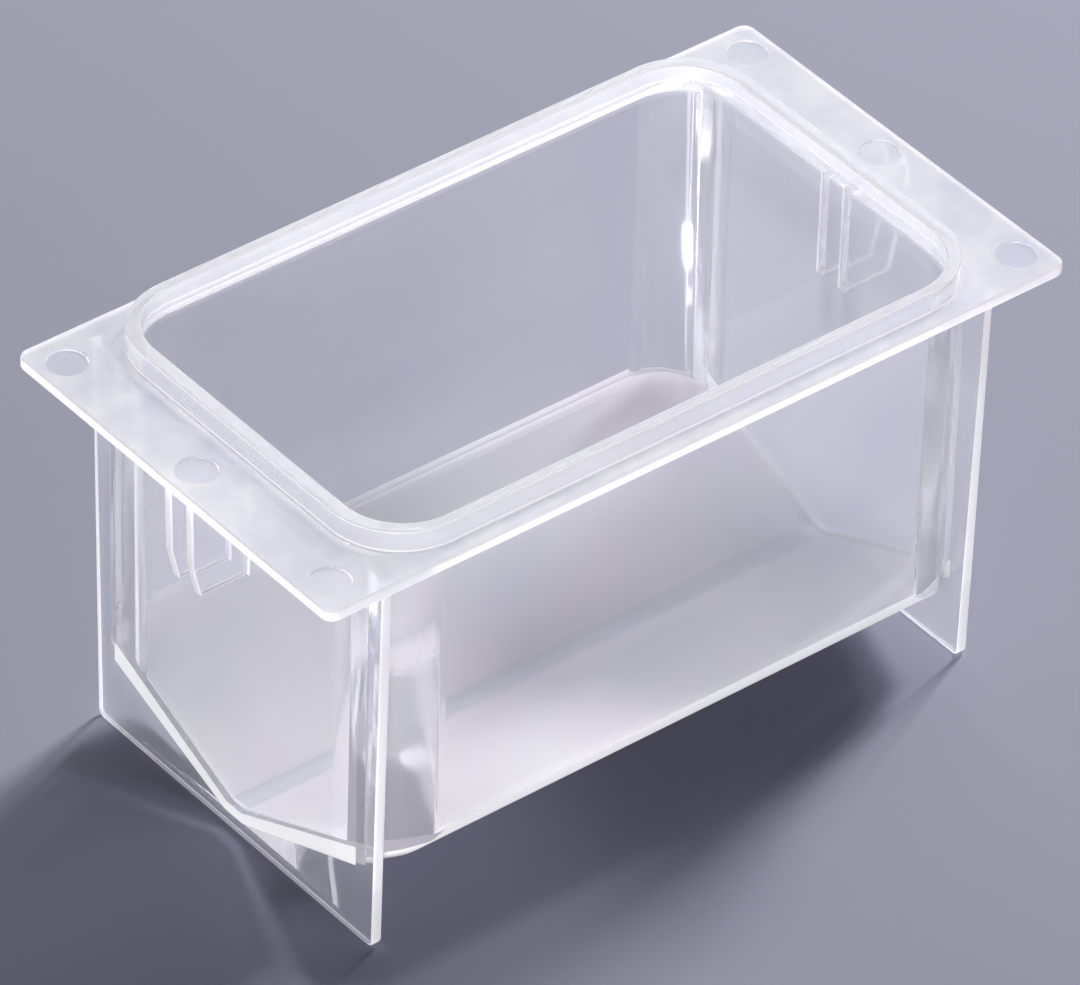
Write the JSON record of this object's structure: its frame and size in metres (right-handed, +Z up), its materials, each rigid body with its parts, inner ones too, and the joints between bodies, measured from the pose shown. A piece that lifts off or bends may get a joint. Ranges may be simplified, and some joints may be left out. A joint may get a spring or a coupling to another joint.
{
  "type": "reagent reservoir",
  "caption": "Clear plastic reagent reservoir: open trough with a V-shaped floor, standing on end plates, with a raised collar and a finger ear at each end.",
  "frame": {"origin": "on the table, under the middle of the reservoir", "axes": "+X along the trough to one finger ear, +Y across it, +Z up out of its mouth"},
  "size_m": [0.108, 0.059, 0.059],
  "materials": {
    "clear_plastic": "clear natural polypropylene, slightly milky, glossy as moulded"
  },
  "bodies": {
    "root": {"reservoir": "clear_plastic"}
  },
  "joints": []
}
